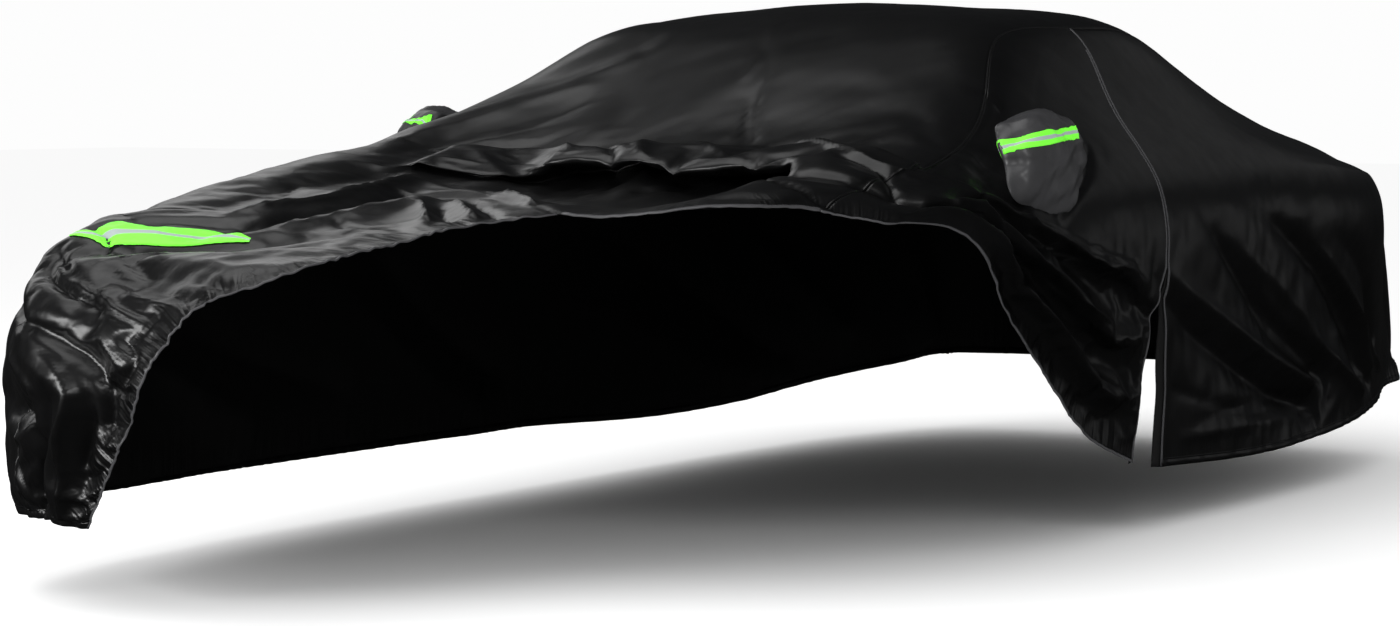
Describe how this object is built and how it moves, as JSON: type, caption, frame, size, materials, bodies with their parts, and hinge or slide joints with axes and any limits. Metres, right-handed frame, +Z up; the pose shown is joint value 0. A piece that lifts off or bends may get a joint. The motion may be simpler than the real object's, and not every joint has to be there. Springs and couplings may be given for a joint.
{
  "type": "car cover",
  "caption": "Fitted black cloth cover, hollow and open underneath, its left front quarter drawn back in folds.",
  "frame": {"origin": "just under the cover's top at its middle line, 2.70 m behind the nose", "axes": "+X to the cover's left, +Y from the nose to the tail, +Z up"},
  "size_m": [2.0663, 4.789, 1.2306],
  "materials": {
    "coated_cloth": "coated polyester taffeta, satin to glossy",
    "pocket_cloth": "coated polyester taffeta, charcoal, satin",
    "reflective_tape": "lime tape with a silver stripe, sewn on",
    "zip_tape": "woven tape with a black plastic coil"
  },
  "bodies": {
    "root": {"top_panel": "coated_cloth", "side_right": "coated_cloth", "side_left_front": "coated_cloth", "side_left_rear": "coated_cloth", "mirror_pocket_left": "pocket_cloth", "mirror_pocket_right": "pocket_cloth", "strip_front_right": "reflective_tape", "strip_mirror_left": "reflective_tape", "strip_mirror_right": "reflective_tape", "zip_tape_front": "zip_tape", "zip_tape_rear": "zip_tape"}
  },
  "joints": []
}
